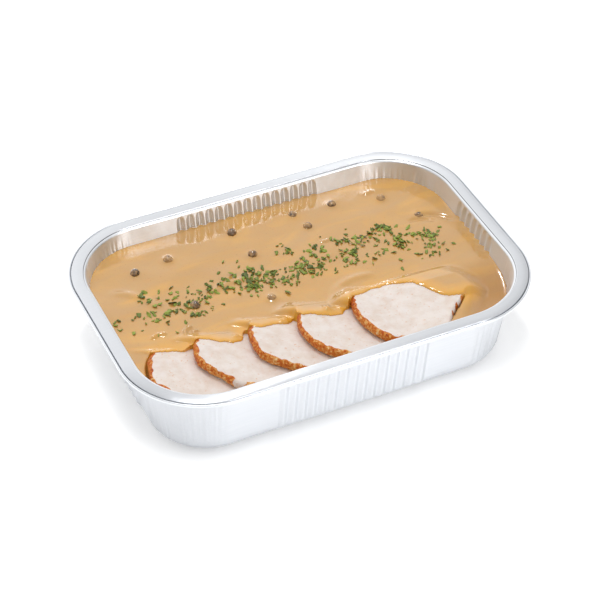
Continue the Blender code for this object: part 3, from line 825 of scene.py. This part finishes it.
def peppercorn_skin():
    """Dried pepper berries: dark, wrinkled, wet with sauce where they stand out of it."""
    made, tree, shader, place = new_material("cooked_pepper_berry")
    shader.inputs["Roughness"].default_value = 0.2
    shader.inputs["Coat Weight"].default_value = 1.0
    shader.inputs["Coat Roughness"].default_value = 0.05
    wrinkles = add(tree, "ShaderNodeTexNoise", {"Vector": (place, "Object"), "Scale": 900.0, "Detail": 3.0})
    skin = add(
        tree, "ShaderNodeValToRGB", {"Fac": (wrinkles, "Fac")}, stops=((0.35, "#2A2414"), (0.68, "#8C6236")),
    )
    coat = add(tree, "ShaderNodeAttribute", attribute_name="coat")
    colour = add(
        tree, "ShaderNodeMix",
        {0: (coat, "Fac"), 6: (skin, "Color"), 7: linear("#C39559")}, data_type="RGBA",
    )
    tree.links.new(colour.outputs[2], shader.inputs["Base Color"])
    bump = add(tree, "ShaderNodeBump", {"Height": (wrinkles, "Fac"), "Strength": 0.6, "Distance": 0.0006})
    tree.links.new(bump.outputs["Normal"], shader.inputs["Normal"])
    return made


pepper_x, pepper_y = np.array([corn[:2] for corn in PEPPERCORNS]).T
pepper_z = sauce_heights(pepper_x, pepper_y)[0]
bpy.ops.object.select_all(action="DESELECT")
corns = []
for (px, py, proud, coat), ground in zip(PEPPERCORNS, pepper_z):
    height = ground + proud * PEPPERCORN_PROUD_SHARE - PEPPERCORN_SUNK
    bpy.ops.mesh.primitive_ico_sphere_add(
        subdivisions=4, radius=PEPPERCORN_RADIUS * MM, location=(px * MM, py * MM, height * MM)
    )
    corn = bpy.context.object
    bpy.ops.object.transform_apply(location=True)
    points = read_points(corn.data, "co") / MM
    normals = read_points(corn.data, "normal")
    dents = PEPPERCORN_DENTS * noise_at(points, 1.3) + PEPPERCORN_WRINKLES * noise_at(points, 0.6)
    points += normals * dents[:, None]
    corn.data.vertices.foreach_set("co", (points * MM).ravel())
    set_attribute(corn.data, "coat", smoothstep(coat + 0.8 * noise_at(points, 1.8) + (0.4 - coat) * 0.3))
    corns.append(corn)
for corn in corns:
    corn.select_set(True)
bpy.ops.object.join()
peppercorns = bpy.context.object
peppercorns.name = "peppercorns"
bpy.ops.object.origin_set(type="ORIGIN_CURSOR")
bpy.ops.object.shade_smooth()
peppercorns.data.materials.append(peppercorn_skin())
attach(peppercorns, "root")

# Parsley.
# Fresh leaves chopped with a knife into small torn chips, scattered from the hand along the sauce.

PARSLEY_SEED = 5
LARGEST_CHIP = 4.6
SMALLEST_CHIP = 1.9
LEAF_THICKNESS = 0.2
CHIP_LIFT = 0.18
CLUMP_SPREAD = 1.2
CLUMP_FILL = 1.15

# Each clump: middle x and y, spread in x and y, and the number of chips.
PARSLEY_CLUMPS = (
    (-92, 12, 5, 4, 8), (-79, 8, 3, 5, 12), (-77, 21, 3, 4, 9), (-68, 7, 3, 4, 20), (-59, 18, 4, 3, 20),
    (-54, 4, 4, 2, 16), (-51, 11, 4, 2, 13), (-43, 19, 2, 4, 12), (-33, 16, 4, 4, 26), (-21, 10, 3, 3, 40),
    (-19, 22, 4, 3, 21), (-9, 14, 4, 2, 21), (-6, 5, 5, 3, 26), (6, 25, 3, 5, 14), (8, 12, 4, 3, 26),
    (18, 17, 4, 6, 39), (35, 11, 3, 3, 30), (40, 23, 4, 3, 30), (48, 6, 5, 6, 17), (60, 23, 4, 3, 31),
    (64, 12, 4, 4, 32), (75, -4, 5, 2, 12), (77, 13, 4, 2, 17), (80, 6, 3, 3, 25),
)
PARSLEY_STRAYS = ((-99, 12), (-98, 6), (3, 35), (-29, 35), (-22, 32), (-76, 28), (19, 28), (43, 0), (-1, 1))


def parsley_leaf():
    """Chopped parsley: yellow green on top, each chip its own tone, with painted shade darkening the chips'
    edges and undersides and painted light on their raised middles.
    """
    made, tree, shader, place = new_material("chopped_parsley_leaf")
    shader.inputs["Roughness"].default_value = 0.45
    tone = add(tree, "ShaderNodeAttribute", attribute_name="tone")
    chips = add(tree, "ShaderNodeTexNoise", {"Vector": (place, "Object"), "Scale": 900.0, "Detail": 2.0})
    mixed = add(
        tree, "ShaderNodeMath",
        {0: (chips, "Fac"), 1: 0.5, 2: (tone, "Fac")}, operation="MULTIPLY_ADD",
    )
    green = add(
        tree, "ShaderNodeValToRGB", {"Fac": (mixed, 0)},
        stops=((0.2, "#36420E"), (0.62, "#6C7C29"), (1.0, "#98A740")),
    )
    tree.links.new(green.outputs["Color"], shader.inputs["Base Color"])
    veins = add(tree, "ShaderNodeTexNoise", {"Vector": (place, "Object"), "Scale": 1800.0, "Detail": 2.0})
    bump = add(tree, "ShaderNodeBump", {"Height": (veins, "Fac"), "Strength": 0.3, "Distance": 0.0003})
    tree.links.new(bump.outputs["Normal"], shader.inputs["Normal"])
    return made


def chip_points(rng, size):
    """A torn chip of leaf: a jagged outline and a raised middle, as (top points, bottom points)."""
    corners = rng.randint(6, 9)
    slim = rng.uniform(0.3, 0.75)
    curl = rng.uniform(-0.25, 0.45)
    top = [Vector((0, 0, size * 0.1))]
    for corner in range(corners):
        turn = math.tau * (corner + rng.uniform(-0.3, 0.3)) / corners
        radius = size / 2 * rng.uniform(0.5, 1.15)
        x, y = radius * math.cos(turn), radius * math.sin(turn) * slim
        top.append(Vector((x, y, curl * x * x / size + rng.uniform(-0.06, 0.12) * size)))
    return top, [point - Vector((0, 0, LEAF_THICKNESS)) for point in top]


rng = random.Random(PARSLEY_SEED)
spots = list(PARSLEY_STRAYS)
for cx, cy, spread_x, spread_y, count in PARSLEY_CLUMPS:
    for _chip in range(round(count * CLUMP_FILL)):
        spots.append((rng.gauss(cx, spread_x * CLUMP_SPREAD), rng.gauss(cy, spread_y * CLUMP_SPREAD)))
spot_x, spot_y = np.array(spots, dtype=float).T
leaf_points, leaf_faces, leaf_tones_and_painted_shading = [], [], []
for x, y, z in zip(spot_x, spot_y, sauce_heights(spot_x, spot_y)[0]):
    size = SMALLEST_CHIP + (LARGEST_CHIP - SMALLEST_CHIP) * rng.random() ** 1.5
    top, bottom = chip_points(rng, size)
    tilt = Matrix.Rotation(rng.uniform(-0.7, 0.7), 4, "X") @ Matrix.Rotation(rng.uniform(-0.5, 0.5), 4, "Y")
    turn = Matrix.Rotation(rng.uniform(0, math.tau), 4, "Z")
    place = Matrix.Translation((x, y, z + CHIP_LIFT + rng.uniform(0, 0.15) * size)) @ turn @ tilt
    first, count = len(leaf_points), len(top)
    leaf_points += [place @ point * MM for point in top + bottom]
    # Painted light and shade: each chip has its own tone, its raised middle is painted lighter, its edge a
    # little darker and its underside dark.
    tone = rng.uniform(0.15, 0.9)
    leaf_tones_and_painted_shading += [tone + 0.15] + [tone - 0.2 * rng.random() for _corner in top[1:]] + [0.0] * count
    for corner in range(1, count):
        after = corner % (count - 1) + 1
        leaf_faces.append((first, first + corner, first + after))
        leaf_faces.append((first + count, first + count + after, first + count + corner))
        leaf_faces.append((first + corner, first + count + corner, first + count + after, first + after))
leaf_mesh = bpy.data.meshes.new("chopped_parsley")
leaf_mesh.from_pydata(leaf_points, [], leaf_faces)
set_attribute(leaf_mesh, "tone", leaf_tones_and_painted_shading)
parsley = bpy.data.objects.new("chopped_parsley", leaf_mesh)
bpy.context.scene.collection.objects.link(parsley)
leaf_mesh.materials.append(parsley_leaf())
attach(parsley, "root")

# Floor, light and camera.
# A seamless pale table in a white tent, which is brightest behind and darker at the sides and low in front.
# A small window above makes the glints on the sauce, one shines on the foil alone and one on the table alone.

FLOOR_SIZE = 6.0
FLOOR_BELOW_TRAY = 0.0002
CAMERA_PLACE = (-0.3478, -0.7504, 0.7387)
CAMERA_BACK = (-0.3188, -0.6875, 0.6525)
LENS = 124.06
SENSOR = 36.0


def soft_window(name, place, target, width, height, power):
    """A flat rectangular light that looks at a spot."""
    lamp = bpy.data.lights.new(name, "AREA")
    lamp.shape = "RECTANGLE"
    lamp.size = width
    lamp.size_y = height
    lamp.energy = power
    made = bpy.data.objects.new(name, lamp)
    made.location = place
    made.rotation_euler = (Vector(target) - Vector(place)).to_track_quat("-Z", "Y").to_euler()
    bpy.context.scene.collection.objects.link(made)
    return made


def shine_on(window, piece, name):
    """Makes a window light one piece alone."""
    lit = bpy.data.collections.new(name)
    lit.objects.link(piece)
    window.light_linking.receiver_collection = lit


def white_tent():
    """The light from all round, white throughout and stronger from some ways than from others."""
    world = bpy.data.worlds.new("white_tent")
    world.use_nodes = True
    tree = world.node_tree
    background = tree.nodes["Background"]
    background.inputs["Color"].default_value = (1.0, 1.0, 1.0, 1.0)
    way = add(tree, "ShaderNodeTexCoord")
    parts = add(tree, "ShaderNodeSeparateXYZ", {"Vector": (way, "Generated")})
    overhead = add(
        tree, "ShaderNodeMapRange",
        {"Value": (parts, "Z"), "From Min": 0.75, "From Max": 0.95, "To Min": 1.08, "To Max": 0.81},
    )
    rear = add(
        tree, "ShaderNodeMapRange",
        {"Value": (parts, "Y"), "From Min": 0.3, "From Max": 0.8, "To Min": 0.98, "To Max": 1.15},
    )
    sideways = add(tree, "ShaderNodeMath", {0: (parts, "X")}, operation="ABSOLUTE")
    sides = add(
        tree, "ShaderNodeMapRange",
        {"Value": (sideways, 0), "From Min": 0.3, "From Max": 0.85, "To Min": 1.0, "To Max": 0.6},
    )
    low = add(
        tree, "ShaderNodeMapRange",
        {"Value": (parts, "Z"), "From Min": 0.2, "From Max": 0.6, "To Min": 0.35, "To Max": 1.0},
    )
    behind = add(tree, "ShaderNodeMapRange", {"Value": (parts, "Y"), "From Min": -0.4, "From Max": 0.0})
    room = add(tree, "ShaderNodeMath", {0: (low, "Result"), 1: (behind, "Result")}, operation="MAXIMUM")
    both = add(tree, "ShaderNodeMath", {0: (overhead, "Result"), 1: (rear, "Result")}, operation="MULTIPLY")
    walls = add(tree, "ShaderNodeMath", {0: (both, 0), 1: (sides, "Result")}, operation="MULTIPLY")
    glow = add(tree, "ShaderNodeMath", {0: (walls, 0), 1: (room, 0)}, operation="MULTIPLY")
    tree.links.new(glow.outputs[0], background.inputs["Strength"])
    return world


bpy.ops.mesh.primitive_plane_add(size=FLOOR_SIZE, location=(0, 0, -FLOOR_BELOW_TRAY))
floor = bpy.context.object
floor.name = "pale_table"
paint, _tree, shader, _place = new_material("white_table_paint")
shader.inputs["Base Color"].default_value = linear("#FBFBFB")
shader.inputs["Roughness"].default_value = 0.9
shader.inputs["Emission Color"].default_value = linear("#FFFFFF")
shader.inputs["Emission Strength"].default_value = 0.19
floor.data.materials.append(paint)

bpy.context.scene.world = white_tent()
soft_window("overhead_window", (0.05, 0.3, 1.12), (0, 0, 0.03), 0.12, 0.12, 2.6)
table_window = soft_window("table_window", (-0.2, -0.3, 1.2), (0, 0, 0), 0.3, 0.3, 4.2)
shine_on(table_window, floor, "table_only")
foil_window = soft_window("foil_window", (0.26, -0.72, 0.5), (0, 0, 0.03), 0.14, 0.32, 3.8)
shine_on(foil_window, tray, "foil_only")

camera_data = bpy.data.cameras.new("camera")
camera_data.lens = LENS
camera_data.sensor_width = SENSOR
camera = bpy.data.objects.new("camera", camera_data)
camera.location = CAMERA_PLACE
camera.rotation_euler = (-Vector(CAMERA_BACK)).to_track_quat("-Z", "Y").to_euler()
bpy.context.scene.collection.objects.link(camera)
bpy.context.scene.camera = camera
bpy.context.scene.view_settings.view_transform = "Standard"
